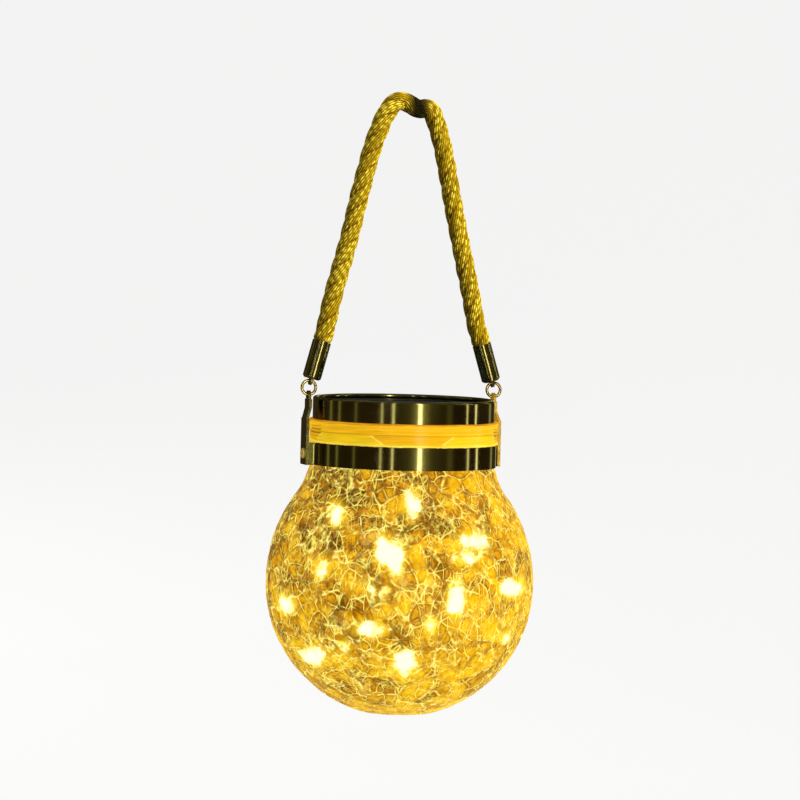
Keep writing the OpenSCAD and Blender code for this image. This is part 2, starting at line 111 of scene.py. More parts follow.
# Painted glows of the front beads on the glass: x and z in mm along the string's own axes,
# strength, and how much wider and taller than round each is
FRONT_GLOWS = [
    (4.6, -177.6, 1.2, 0.8, 1.4), (-29.8, -183.6, 1.2, 0.75, 1.2), (33.8, -193.8, 1.2, 1.5, 0.9),
    (30.2, -202.1, 0.9, 1.5, 0.7), (-8.2, -198.2, 1.2, 0.7, 1.5), (-1.6, -201.5, 1.3, 0.8, 1.5),
    (-35.8, -208.3, 0.85, 0.9, 1.3), (51.8, -216.8, 1.4, 1.05, 0.8), (26.1, -220.6, 1.4, 0.85, 1.5),
    (-52.3, -227.2, 1.2, 0.9, 1), (15.1, -231.9, 0.85, 0.9, 1), (-12.8, -235.1, 1.2, 1.5, 0.8),
    (50.2, -240.6, 0.9, 0.6, 0.7), (-39.3, -250.1, 1.4, 1.1, 0.9), (3.2, -250.6, 1.6, 1, 1),
    (-24.4, -244.1, 0.8, 0.8, 1), (-12.6, -216.6, 0.6, 0.8, 0.8), (13.6, -212.7, 0.55, 0.9, 0.7),
]
# Strength of each back bead's painted glow, and its spread in radians about the globe's middle
BACK_GLOW = 1.2
BACK_GLOW_SPREAD = 5.4 / 61


def make_camera():
    a, e = math.radians(CAMERA_AZIMUTH), math.radians(CAMERA_ELEVATION)
    back = Vector((math.sin(a) * math.cos(e), -math.cos(a) * math.cos(e), math.sin(e)))
    right = Vector((math.cos(a), math.sin(a), 0))
    data = bpy.data.cameras.new("camera")
    data.sensor_width = 36.0
    data.lens = data.sensor_width / 2 / (VIEW_WIDTH / 2 / CAMERA_DISTANCE)
    data.clip_start, data.clip_end = 0.05, 30
    camera = bpy.data.objects.new("camera", data)
    bpy.context.scene.collection.objects.link(camera)
    turn = (-back).to_track_quat("-Z", "Y").to_matrix() @ Matrix.Rotation(
        math.radians(CAMERA_ROLL), 3, "Z")
    camera.matrix_world = Matrix.Translation(
        TARGET - right * TARGET_LEFT + back * CAMERA_DISTANCE) @ turn.to_4x4()
    bpy.context.scene.camera = camera


# ---- Curves and meshes ----
def catmull_rom(points, step):
    """A smooth line through every point, sampled about every step metres."""
    p = np.asarray(points, float)
    line = []
    for i in range(len(p) - 1):
        a, b = p[max(i - 1, 0)], p[i]
        c, d = p[i + 1], p[min(i + 2, len(p) - 1)]
        n = max(2, int(math.ceil(np.linalg.norm(c - b) / step)))
        t = (np.arange(n) / n)[:, None]
        line.append(0.5 * (2 * b + (c - a) * t + (2 * a - 5 * b + 4 * c - d) * t ** 2
                           + (3 * b - a - 3 * c + d) * t ** 3))
    line.append(p[-1:])
    return np.concatenate(line)


def frames_along(line, start):
    """Tangents and a pair of normals that don't twist along the line."""
    tangent = np.gradient(line, axis=0)
    tangent /= np.linalg.norm(tangent, axis=1)[:, None]
    normal = np.zeros_like(line)
    last = np.asarray(start, float)
    for i, t in enumerate(tangent):
        last = last - t * last.dot(t)
        last = last / np.linalg.norm(last)
        normal[i] = last
    return tangent, normal, np.cross(tangent, normal)


def mesh_object(name, vertices, faces, smooth=True):
    mesh = bpy.data.meshes.new(name)
    mesh.from_pydata([tuple(v) for v in vertices], [], [tuple(f) for f in faces])
    mesh.validate()
    mesh.update()
    if smooth:
        mesh.polygons.foreach_set("use_smooth", [True] * len(mesh.polygons))
    obj = bpy.data.objects.new(name, mesh)
    bpy.context.scene.collection.objects.link(obj)
    return obj


def grid_faces(rows, columns, first=0):
    """Quads of a grid whose rows are closed rings."""
    i, k = np.meshgrid(np.arange(rows - 1), np.arange(columns), indexing="ij")
    m = (k + 1) % columns
    quads = np.stack([i * columns + k, i * columns + m, (i + 1) * columns + m,
                      (i + 1) * columns + k], axis=-1)
    return (quads.reshape(-1, 4) + first).tolist()


def closed_tube(rings):
    """Vertices and faces of a tube given as rows of ring points, capped at both ends."""
    rows, columns = rings.shape[:2]
    faces = grid_faces(rows, columns)
    faces.append(list(range(columns))[::-1])
    faces.append([(rows - 1) * columns + k for k in range(columns)])
    return rings.reshape(-1, 3), faces


def ring_points(line, start, radii, count):
    _, n, b = frames_along(line, start)
    angle = 2 * np.pi * np.arange(count) / count
    r = np.broadcast_to(np.asarray(radii, float), (len(line),))[:, None, None]
    return line[:, None, :] + r * (np.cos(angle)[None, :, None] * n[:, None, :]
                                   + np.sin(angle)[None, :, None] * b[:, None, :])


def add_attribute(obj, name, values):
    layer = obj.data.attributes.new(name, "FLOAT", "POINT")
    layer.data.foreach_set("value", np.asarray(values, np.float32))


# ---- Material helpers ----
class Shader:
    """A material with its node tree and its Principled shader."""

    def __init__(self, name, **sockets):
        self.material = bpy.data.materials.new(name)
        self.material.use_nodes = True
        self.tree = self.material.node_tree
        self.main = self.tree.nodes["Principled BSDF"]
        self.output = self.tree.nodes["Material Output"]
        for key, value in sockets.items():
            self.set(key.replace("_", " "), value)

    def set(self, socket, value):
        self.put(self.main.inputs[socket], value)

    def put(self, target, value):
        if isinstance(value, bpy.types.NodeSocket):
            self.tree.links.new(value, target)
        else:
            target.default_value = value

    def node(self, kind, inputs=(), **settings):
        n = self.tree.nodes.new(kind)
        for key, value in settings.items():
            setattr(n, key, value)
        for key, value in dict(inputs).items():
            self.put(n.inputs[key], value)
        return n

    def place(self):
        return self.node("ShaderNodeTexCoord").outputs["Object"]

    def axes(self):
        return self.node("ShaderNodeSeparateXYZ", {0: self.place()}).outputs

    def scaled(self, vector, scale):
        return self.node("ShaderNodeVectorMath", {0: vector, 1: scale},
                         operation="MULTIPLY").outputs[0]

    def math(self, operation, a, b=0.5, c=0.5, clamp=False):
        return self.node("ShaderNodeMath", {0: a, 1: b, 2: c}, operation=operation,
                         use_clamp=clamp).outputs[0]

    def noise(self, vector, scale, detail=3.0, roughness=0.5, distortion=0.0):
        return self.node("ShaderNodeTexNoise", {
            "Vector": vector, "Scale": scale, "Detail": detail, "Roughness": roughness,
            "Distortion": distortion}).outputs

    def cells(self, vector, scale, feature="F1", randomness=1.0):
        return self.node("ShaderNodeTexVoronoi", {
            "Vector": vector, "Scale": scale, "Randomness": randomness},
            feature=feature).outputs

    def step(self, value, low, high, out_low=0.0, out_high=1.0):
        return self.node("ShaderNodeMapRange", {
            0: value, 1: low, 2: high, 3: out_low, 4: out_high},
            interpolation_type="SMOOTHSTEP").outputs[0]

    def ramp(self, factor, stops):
        n = self.node("ShaderNodeValToRGB", {0: factor})
        elements = n.color_ramp.elements
        while len(elements) < len(stops):
            elements.new(0.5)
        for element, (where, colour) in zip(elements, stops):
            element.position = where
            element.color = (*colour, 1)
        return n.outputs[0]

    def mix(self, factor, a, b, blend="MIX"):
        n = self.node("ShaderNodeMix", data_type="RGBA", blend_type=blend)
        self.put(n.inputs[0], factor)
        self.put(n.inputs[6], a if not isinstance(a, tuple) else (*a, 1))
        self.put(n.inputs[7], b if not isinstance(b, tuple) else (*b, 1))
        return n.outputs[2]

    def attribute(self, name):
        return self.node("ShaderNodeAttribute", attribute_name=name).outputs["Fac"]

    def bump(self, height, strength, distance):
        normal = self.node("ShaderNodeBump", {
            "Height": height, "Strength": strength, "Distance": distance}).outputs[0]
        self.set("Normal", normal)


def wear(s, scale=400.0):
    """Fine dust and handling marks, from 0 to 1."""
    return s.noise(s.place(), scale, 4, 0.6)[0]


def dress(material, *names):
    for name in names:
        slots = NODES[name].data.materials
        slots.clear()
        slots.append(material)


# ---- Materials ----
def steel_material(name, dark, light):
    """Brushed metal under a tinted lacquer, with its lines running round the lantern."""
    s = Shader(name, Metallic=1.0, Roughness=0.1)
    lines = s.noise(s.scaled(s.place(), (60, 60, 5200)), 1, 3, 0.6)[0]
    patches = s.noise(s.place(), 38, 3, 0.6)[0]
    s.set("Base Color", s.mix(s.step(patches, 0.3, 0.75), dark, light))
    s.set("Roughness", s.step(s.math("ADD", s.math("MULTIPLY", lines, 0.6), patches),
                              0.4, 1.3, 0.07, 0.17))
    s.bump(lines, 0.04, 0.0001)
    return s.material


def brass_material(name, dark, light, roughness=0.12, glow=(0.0, 0.0, 0.0), painted_glow_power=0.0):
    """Plated metal with handling marks; the glow colour and power paint lamp light onto a part as
    emission.
    """
    s = Shader(name, Metallic=1.0, Roughness=roughness)
    if painted_glow_power:
        s.set("Emission Color", (*glow, 1))
        s.set("Emission Strength", painted_glow_power)
    marks = wear(s, 260)
    s.set("Base Color", s.mix(s.step(marks, 0.35, 0.7), dark, light))
    s.set("Roughness", s.step(wear(s, 500), 0.3, 0.75, roughness - 0.04, roughness + 0.08))
    s.bump(wear(s, 500), 0.03, 0.0001)
    return s.material


def rope_material():
    s = Shader("hemp_rope", Roughness=0.85)
    groove = s.attribute("groove")
    yarn = s.attribute("yarn")
    dash = s.attribute("dash")
    stain = s.attribute("stain")
    fibre = s.noise(s.scaled(s.place(), (1, 1, 0.3)), 3000, 3, 0.6)[0]
    patch = s.noise(s.place(), 110, 3, 0.6)[0]
    straw = s.mix(s.step(fibre, 0.3, 0.7), (0.26, 0.142, 0.001), (0.62, 0.415, 0.004))
    straw = s.mix(s.step(patch, 0.35, 0.7, 0.0, 0.6), straw, (0.26, 0.17, 0.001))
    # Painted highlights on the yarns' crowns, as short bright dashes
    straw = s.mix(s.step(dash, 0.30, 0.85, 0.0, 0.95), straw, (1.0, 0.80, 0.06))
    # Painted shade in the crevices between the yarns
    straw = s.mix(s.step(yarn, 0.1, 0.85, 0.96, 0.0), straw, (0.085, 0.036, 0.001))
    # Painted shade in the grooves between the strands, in patches along the rope
    brown = s.step(s.noise(s.place(), 420, 2, 0.5)[0], 0.38, 0.56, 0.25, 1.0)
    straw = s.mix(s.math("MULTIPLY", s.step(groove, 0.0, 0.50, 1.0, 0.0), brown), straw,
                  (0.13, 0.048, 0.001))
    # Painted shade of the hook on the rope's crown
    straw = s.mix(s.math("MULTIPLY", stain, 0.98), straw, (0.004, 0.003, 0.001))
    s.set("Base Color", straw)
    s.set("Specular IOR Level", 0.2)
    s.bump(fibre, 0.6, 0.0003)
    return s.material


def crack_lines(s, vector, scale, half_width, wobble_scale, wobble):
    """Bright where a cell wall of a wobbled cell pattern is near, and the shade beside it."""
    shift = s.node("ShaderNodeVectorMath", {
        0: s.noise(vector, wobble_scale, 2, 0.5)[1], 1: (0.5, 0.5, 0.5)},
        operation="SUBTRACT").outputs[0]
    moved = s.node("ShaderNodeVectorMath", {
        0: s.scaled(shift, (wobble, wobble, wobble)), 1: vector}, operation="ADD").outputs[0]
    edge = s.cells(moved, scale, "DISTANCE_TO_EDGE")[0]
    reach = half_width * scale * 2
    return s.step(edge, 0.0, reach, 1.0, 0.0), s.step(edge, reach, reach * 3.2, 1.0, 0.0), moved


# Scale of the cell pattern that the largest cracks and the tone of the cells share
BIG_CELLS = 92


def glass_cracks(s, place):
    """Three sizes of crack: their lines, the painted sparks of light where they meet, the shade and
    the cells.
    """
    big, big_shade, moved = crack_lines(s, place, BIG_CELLS, 0.00028, 48, 0.014)
    mid, mid_shade, _ = crack_lines(s, s.scaled(place, (1.0, 1.0, 0.6)), 215, 0.00021, 90, 0.006)
    fine, _, _ = crack_lines(s, s.scaled(place, (1.0, 1.0, 0.7)), 430, 0.00016, 170, 0.003)
    there = s.step(s.noise(place, 55, 2, 0.5)[0], 0.34, 0.44)
    mid = s.math("MULTIPLY", mid, there)
    fine = s.math("MULTIPLY", fine, s.step(s.noise(place, 85, 2, 0.5)[0], 0.38, 0.50))
    lines = s.math("MAXIMUM", big, s.math("MAXIMUM", s.math("MULTIPLY", mid, 0.95),
                                          s.math("MULTIPLY", fine, 0.6)))
    flicker = s.step(s.noise(place, 250, 3, 0.6)[0], 0.38, 0.58, 0.12, 1.0)
    lines = s.math("MULTIPLY", lines, flicker)
    spark = s.math("MULTIPLY", s.step(s.math("ADD", big, mid), 1.15, 1.7), flicker)
    shade = s.math("MAXIMUM", big_shade, s.math("MULTIPLY", mid_shade, there))
    return lines, spark, shade, moved


def glass_tone(s, place, shade, moved):
    """From 0, brown, to 1, yellow: a value for each cell, cloudy patches and the height."""
    tone = s.node("ShaderNodeSeparateColor", {0: s.cells(moved, BIG_CELLS)[1]}).outputs[0]
    tone = s.math("ADD", s.math("MULTIPLY", tone, 0.20),
                  s.math("MULTIPLY", s.noise(place, 95, 3, 0.6)[0], 0.90))
    tone = s.math("ADD", tone, s.math("MULTIPLY", s.noise(place, 420, 3, 0.7)[0], 0.40))
    # Browner up at the neck, more golden to the right and down at the foot
    axes = s.axes()
    lift = s.math("ADD", s.math("MULTIPLY", axes[0], 0.85),
                  s.math("MULTIPLY", s.math("SUBTRACT", axes[2], GLOBE_Z), -1.3))
    return s.math("SUBTRACT", s.math("ADD", tone, lift), s.math("MULTIPLY", shade, 0.16))


def glass_material(name, seed, opacity, strength):
    """Amber crackled glass with the beads' light painted on as glow; seed moves the pattern, so the
    two faces differ.
    """
    s = Shader(name, Roughness=0.12, Metallic=0.0)
    s.set("IOR", 1.5)
    s.set("Specular IOR Level", 0.04)
    place = s.node("ShaderNodeVectorMath", {0: s.place(), 1: (seed, seed * 0.7, -seed)},
                   operation="ADD").outputs[0]
    glow = s.attribute("glow")
    lines, spark, shade, moved = glass_cracks(s, place)
    tone = glass_tone(s, place, shade, moved)
    cell = s.ramp(tone, [
        (0.42, (0.11, 0.027, 0.0001)), (0.58, (0.40, 0.140, 0.0001)),
        (0.73, (0.72, 0.36, 0.0004)), (0.92, (0.98, 0.60, 0.003))])
    s.set("Base Color", s.mix(0.85, cell, (0.02, 0.008, 0.0002)))
    # Painted light of the beads inside, as emission: halos and ragged bright patches round them,
    # bright crack lines and sparks
    halo = s.step(glow, 0.03, 0.7)
    torn = s.math("SUBTRACT", s.noise(place, 170, 3, 0.65)[0], 0.5)
    ragged = s.step(s.math("ADD", glow, s.math("MULTIPLY", torn, 2.1)), 0.42, 1.02)
    ragged = s.math("MULTIPLY", ragged, s.step(glow, 0.08, 0.35))
    light = s.mix(s.math("MULTIPLY", halo, 0.55), cell, (1.0, 0.66, 0.01))
    light = s.mix(s.math("MULTIPLY", lines, 0.94), light, (1.0, 0.86, 0.14))
    light = s.mix(s.math("MAXIMUM", ragged, s.math("MULTIPLY", spark, 0.7)), light,
                  (1.0, 0.93, 0.42))
    s.set("Emission Color", light)
    power = s.math("ADD", strength, s.math("MULTIPLY", lines, strength * 0.15))
    power = s.math("ADD", power, s.math("MULTIPLY", halo, strength * 0.15))
    power = s.math("ADD", power, s.math("MULTIPLY", ragged, strength * 0.8))
    s.set("Emission Strength", power)
    cover = s.math("ADD", opacity, s.math("MULTIPLY", s.math("MAXIMUM", lines, ragged), 0.22),
                   clamp=True)
    s.set("Alpha", cover)
    s.bump(s.math("ADD", lines, tone), 0.25, 0.0006)
    return s.material


# Height of the collar that shows between the lid and the neck band
COLLAR_SEEN_H = 10.8 * MM


def collar_lugs(s, down, over):
    """The gaps between the raised lugs, which narrow downwards, with painted shade in them and
    painted highlights on their rims.
    """
    half = s.step(down, 0.0054, 0.0096, 0.0190, 0.0143)
    inside = s.math("SUBTRACT", half, s.math("MINIMUM", over[0], over[1]))
    rows = s.math("MULTIPLY", s.step(down, 0.0051, 0.0056), s.step(down, 0.0094, 0.0098, 1.0, 0.0))
    gap_shade = s.math("MULTIPLY", rows, s.step(inside, -0.0002, 0.0002))
    rim_highlight = s.math("MULTIPLY", rows, s.step(s.math("ABSOLUTE", inside), 0.0002, 0.0010, 1.0, 0.0))
    return gap_shade, rim_highlight


def collar_slots(s, down, over):
    """Painted shade in short slots where the thread runs out at both sides."""
    ends = s.math("MULTIPLY", s.step(over, 0.0400, 0.0408), s.step(over, 0.0434, 0.0442, 1.0, 0.0))
    ends = s.math("MULTIPLY", ends, s.math("MULTIPLY", s.step(down, 0.0024, 0.0028),
                                           s.step(down, 0.0072, 0.0078, 1.0, 0.0)))
    bars = s.math("ABSOLUTE", s.math("SUBTRACT", s.math("FRACT", s.math("DIVIDE", down, 0.0017)),
                                     0.5))
    return s.math("MULTIPLY", ends, s.step(bars, 0.14, 0.26, 0.75, 0.0))


def collar_material():
    """Clear moulded plastic with the jar's light painted on as glow, orange near the lid and lemon
    towards the lit jar.
    """
    s = Shader("clear_collar", Roughness=0.18)
    s.set("IOR", 1.49)
    s.set("Specular IOR Level", 0.25)
    axes = s.axes()
    down = s.math("SUBTRACT", LID_BOTTOM, axes[2])
    streak = s.noise(s.scaled(s.place(), (70, 70, 2600)), 1, 4, 0.65)[0]
    mixed = s.math("ADD", s.math("DIVIDE", down, COLLAR_SEEN_H),
                   s.math("MULTIPLY", s.math("SUBTRACT", streak, 0.5), 0.30))
    colour = s.ramp(mixed, [
        (0.0, (0.42, 0.13, 0.002)), (0.10, (0.94, 0.52, 0.014)), (0.38, (0.86, 0.46, 0.010)),
        (0.50, (0.90, 0.58, 0.010)), (0.86, (0.92, 0.60, 0.012)), (1.0, (1.0, 0.82, 0.10))])
    # Distances across the two lines through the lugs' four gaps
    turn = math.radians(-LUG_TURN)
    over = [s.math("ABSOLUTE", s.node("ShaderNodeVectorMath", {0: s.place(), 1: d},
                                      operation="DOT_PRODUCT").outputs["Value"])
            for d in ((math.cos(turn), -math.sin(turn), 0), (math.sin(turn), math.cos(turn), 0))]
    gap_shade, rim_highlight = collar_lugs(s, down, over)
    # Painted shade in the gaps between the lugs and painted highlights on their rims
    colour = s.mix(s.math("MULTIPLY", gap_shade, 0.75), colour, (0.80, 0.40, 0.006))
    colour = s.mix(s.math("MULTIPLY", rim_highlight, 0.7), colour, (1.0, 0.80, 0.14))
    # Painted shade: a darker line along the top edge of the lugs' gaps
    ledge_shade = s.step(s.math("ABSOLUTE", s.math("SUBTRACT", down, 0.0053)), 0.0001, 0.0005, 0.8, 0.0)
    colour = s.mix(ledge_shade, colour, (0.66, 0.30, 0.004))
    colour = s.mix(collar_slots(s, down, over[1]), colour, (0.12, 0.045, 0.001))
    s.set("Base Color", s.mix(0.75, colour, (0.1, 0.04, 0.001)))
    # Painted glow: the whole colour shines as emission, for the jar's light through the clear
    # plastic
    s.set("Emission Color", colour)
    s.set("Emission Strength", s.step(streak, 0.30, 0.7, 0.62, 0.95))
    s.set("Alpha", 0.95)
    s.bump(streak, 0.15, 0.0003)
    return s.material


def plastic_material(name, colour, roughness=0.45, grain=2600.0, lift=1.25, shine=0.5):
    s = Shader(name)
    s.set("Specular IOR Level", shine)
    bright = tuple(min(1.0, c * lift + 0.004) for c in colour)
    s.set("Base Color", s.mix(s.step(wear(s, 120), 0.3, 0.7), colour, bright))
    s.set("Roughness", s.step(wear(s, 500), 0.3, 0.7, roughness - 0.08, roughness + 0.1))
    s.bump(s.noise(s.place(), grain, 3, 0.6)[0], 0.2, 0.0001)
    return s.material


def bead_material():
    s = Shader("led_resin", Roughness=0.1)
    s.set("Base Color", (1.0, 0.86, 0.5, 1))
    tone = s.step(wear(s, 900), 0.3, 0.7)
    s.set("Emission Color", s.mix(tone, (1.0, 0.72, 0.16), (1.0, 0.80, 0.28)))
    s.set("Emission Strength", 6.0)
    return s.material


def copper_material():
    s = Shader("copper_wire", Metallic=1.0, Roughness=0.3)
    s.set("Base Color", s.mix(s.step(wear(s, 800), 0.3, 0.7), (0.55, 0.24, 0.06),
                              (0.80, 0.45, 0.14)))
    return s.material


# ---- Rope ----
HOOK_X = 2.6 * MM
HOOK_SHADE_REACH = 5.0 * MM


def ferrule_point(side, station):
    lean = FERRULE_LEAN[side]
    ring = RINGS[side]
    return (ring.x - side * station * MM * math.sin(lean), 0,
            ring.z + station * MM * math.cos(lean))


def rope_path():
    left = [ferrule_point(-1, station) for station in FERRULE_STATIONS]
    middle = [(x * MM, 0, z * MM) for x, z in ROPE_LINE]
    right = [ferrule_point(1, station) for station in FERRULE_STATIONS[::-1]]
    return catmull_rom(left + middle + right, 0.7 * MM)


def rope_squeeze(line):
    """1 where the rope is squeezed into a ferrule and 0 where it is free, along the line."""
    squeeze = np.zeros(len(line))
    for side in (-1, 1):
        top = ferrule_point(side, FERRULE_TOP / MM + 0.9)[2]
        part = np.clip((top - line[:, 2]) / (1.0 * MM), 0, 1)
        squeeze = np.maximum(squeeze, np.where(line[:, 0] * side > 0, part, 0))
    return squeeze[:, None]


def rope_surface(line):
    """Three laid strands as rings of points; each strand shows its yarns, laid the other way."""
    columns = 240
    lay = 27 * MM
    strand_r, strand_out = 3.62 * MM, 0.95 * MM
    yarns, yarn_depth = 19, 0.30 * MM
    squeezed_r = 3.6 * MM
    _, n, b = frames_along(line, (0, 1, 0))
    along = np.concatenate([[0], np.cumsum(np.linalg.norm(np.diff(line, axis=0), axis=1))])
    angle = 2 * np.pi * np.arange(columns) / columns
    turn = 2 * np.pi * along / lay
    place = angle[None, :] - turn[:, None] + np.pi / 3
    strand = np.floor(place / (2 * np.pi / 3)) % 3
    local = place % (2 * np.pi / 3) - np.pi / 3
    root = np.sqrt(np.maximum(strand_r ** 2 - (strand_out * np.sin(local)) ** 2, 0))
    radius = strand_out * np.cos(local) + root
    inner = np.arctan2(radius * np.sin(local), radius * np.cos(local) - strand_out)
    twist = yarns * (inner + turn[:, None] * 0.75) / (2 * np.pi)
    yarn = np.abs(np.sin(np.pi * twist))
    # The yarns are twisted too, so that each shows as a row of short dashes, painted bright as
    # highlights
    rng = np.random.default_rng(RNG_SEED)
    starts = rng.uniform(0, 1, 997)
    index = (np.floor(twist) + 131 * strand).astype(int) % 997
    dash = np.sin(np.pi * ((along[:, None] / (3.6 * MM) + starts[index]) % 1.0)) ** 0.8
    dash = dash * (0.35 + 0.65 * starts[(index * 7) % 997])
    groove = (radius - radius.min()) / (radius.max() - radius.min())
    radius = radius - yarn_depth * (1 - yarn ** 0.6) + 0.10 * MM * (dash - 0.5)
    slow = np.interp(along, np.linspace(0, along[-1], 60), rng.normal(0, 0.04 * MM, 60))
    radius = radius + slow[:, None]
    squeeze = rope_squeeze(line)
    radius = radius * (1 - squeeze) + np.minimum(radius, squeezed_r) * squeeze
    points = line[:, None, :] + radius[:, :, None] * (
        np.cos(angle)[None, :, None] * n[:, None, :] + np.sin(angle)[None, :, None] * b[:, None, :])
    return points, {"groove": groove, "yarn": yarn, "dash": dash}


def make_rope():
    line = rope_path()
    points, marks = rope_surface(line)
    vertices, faces = closed_tube(points)
    rope = mesh_object("twisted_rope", vertices, faces)
    for name, values in marks.items():
        add_attribute(rope, name, values.reshape(-1))
    # Painted shade on the crown, where the rope lies in the shadow of its hook
    from_hook = np.abs(vertices[:, 0] - HOOK_X) / HOOK_SHADE_REACH
    stain = np.where(vertices[:, 2] > -6 * MM, np.exp(-from_hook ** 4), 0)
    add_attribute(rope, "stain", stain)
    rope.data.materials.append(rope_material())
    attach(rope, "rope_handle")
    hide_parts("rope")


# ---- Light string ----
def turned(point):
    x, y, z = point[0] * MM, point[1] * MM, point[2] * MM
    c, s = math.cos(STRING_TURN), math.sin(STRING_TURN)
    return (x * c - y * s, x * s + y * c, z)


def bead_places():
    return [turned(p) for p in STRING_ROUTE if p[3]]


def make_light_string():
    line = catmull_rom([turned(p) for p in STRING_ROUTE], 2.5 * MM)
    rings = ring_points(line, (1, 0, 0), WIRE_D / 2, 8)
    vertices, faces = closed_tube(rings)
    wire = mesh_object("string_wire", vertices, faces)
    wire.data.materials.append(copper_material())
    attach(wire, "jar_body")
    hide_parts("light_wire")
    tangent, _, _ = frames_along(line, (1, 0, 0))
    # A bead's outline: place along the wire and radius, in mm
    profile = [(-2.4, 0.05), (-2.1, 0.6), (-1.4, 1.15), (-0.4, 1.5), (0.7, 1.35), (1.6, 0.95),
               (2.3, 0.5), (2.6, 0.05)]
    vertices, faces = [], []
    for place in bead_places():
        near = int(np.argmin(np.linalg.norm(line - np.array(place), axis=1)))
        t = tangent[near]
        spine = np.array([np.array(place) + t * h * MM for h, _ in profile])
        rings = ring_points(spine, (0.2, 0.3, 0.9), [r * MM for _, r in profile], 14)
        v, f = closed_tube(rings)
        faces += [[k + len(vertices) for k in face] for face in f]
        vertices += v.tolist()
    beads = mesh_object("led_drops", vertices, faces)
    beads.data.materials.append(bead_material())
    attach(beads, "jar_body")
    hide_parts("led_beads")


def make_lead():
    """The twin lead between the lid's grommet and the light string."""
    lo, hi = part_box("lead_wire")
    line = np.array([(0, 0, z) for z in np.linspace(hi.z, lo.z, 24)])
    rings = ring_points(line, (1, 0, 0), 0.55 * MM, 12)
    vertices, faces = closed_tube(rings)
    lead = mesh_object("twin_lead", vertices, faces)
    lead.data.materials.append(plastic_material("clear_lead", (0.62, 0.42, 0.14), 0.3))
    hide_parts("lead_wire")
    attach(lead, "jar_body")


# ---- Glass ----
CRACK_SHELL_R = 61.5 * MM
CRACK_COUNT = 900
GROOVE_WIDTH = 1.1 * MM
GROOVE_DEPTH = 0.22 * MM
WAVE_HEIGHT = 0.22 * MM
FADE_H = 4 * MM


def jar_profile():
    """Outer and inner outlines of the jar, as radius and height, from the mouth to the foot."""
    mouth_z, foot_z = JAR_HI.z - MOUTH_GAP, JAR_LO.z

    def arc(rx, rz, a0, a1, n):
        a = np.radians(np.linspace(a0, a1, n))
        return [(rx * math.cos(t), GLOBE_Z + rz * math.sin(t)) for t in a]

    foot_angle = -math.degrees(math.acos(FOOT_R / GLOBE_R))
    inner_r = GLOBE_R - GLASS_T
    inner_floor = foot_z + 3.4 * MM
    inner_angle = -math.degrees(math.asin((GLOBE_Z - inner_floor) / inner_r))
    outer = [(NECK_R - 2.4 * MM, mouth_z), (NECK_R - 0.5 * MM, mouth_z),
             (NECK_R - 0.12 * MM, mouth_z - 0.5 * MM), (NECK_R - 0.1 * MM, BAND_BOTTOM - 0.3 * MM),
             (44.1 * MM, BAND_BOTTOM - 2 * MM), (45.2 * MM, BAND_BOTTOM - 6 * MM)]
    outer += arc(GLOBE_R, GLOBE_TOP_H, 40, 0, 24) + arc(GLOBE_R, GLOBE_R, -2, foot_angle, 36)
    outer += [(16.6 * MM, foot_z), (10.2 * MM, foot_z), (8.6 * MM, foot_z + 0.3 * MM),
              (6.5 * MM, foot_z + 0.75 * MM), (0.6 * MM, foot_z + 0.8 * MM)]
    inner = [(NECK_R - 3 * MM, mouth_z - 0.6 * MM), (NECK_R - 3 * MM, BAND_BOTTOM - 2 * MM),
             (42 * MM, BAND_BOTTOM - 7 * MM)]
    inner += arc(inner_r, GLOBE_TOP_H - GLASS_T, 40, 0, 24)
    inner += arc(inner_r, inner_r, -3, inner_angle, 34)
    return outer, inner + [(0.6 * MM, inner_floor)]


def resample(outline, step):
    p = np.array(outline)
    s = np.concatenate([[0], np.cumsum(np.linalg.norm(np.diff(p, axis=0), axis=1))])
    n = int(s[-1] / step) + 2
    t = np.linspace(0, s[-1], n)
    return np.stack([np.interp(t, s, p[:, 0]), np.interp(t, s, p[:, 1])], axis=1)


def crack_cells():
    """Random points on a shell within the glass wall, one for each cell between the grooves."""
    rng = np.random.default_rng(RNG_SEED)
    v = rng.normal(size=(CRACK_COUNT, 3))
    v /= np.linalg.norm(v, axis=1)[:, None]
    v *= CRACK_SHELL_R
    v[:, 2] += GLOBE_Z
    tree = kdtree.KDTree(CRACK_COUNT)
    for i, p in enumerate(v):
        tree.insert(p, i)
    tree.balance()
    return tree


def glow_at(points):
    """Painted light of the beads on the glass, for points on either face of the wall."""
    centre = np.array((0, 0, GLOBE_Z))
    right = np.array((math.cos(STRING_TURN), math.sin(STRING_TURN), 0))
    back = np.array((-math.sin(STRING_TURN), math.cos(STRING_TURN), 0))
    total = np.zeros(len(points))
    across, behind = points @ right, points @ back
    for x, z, power, wide, tall in FRONT_GLOWS:
        spread = (2.6 + 2.1 * power) * MM
        away = ((across - x * MM) / (spread * wide)) ** 2
        away += ((points[:, 2] - z * MM) / (spread * tall)) ** 2
        total += np.where(behind < 0, power * np.exp(-away), 0)
    flat = points - centre
    flat = flat / np.linalg.norm(flat, axis=1)[:, None]
    for place in bead_places():
        v = np.array(place)
        if v @ back > 0:
            v = (v - centre) / np.linalg.norm(v - centre)
            away = np.arccos(np.clip(flat @ v, -1, 1)) / BACK_GLOW_SPREAD
            total += BACK_GLOW * np.exp(-away ** 2)
    return total


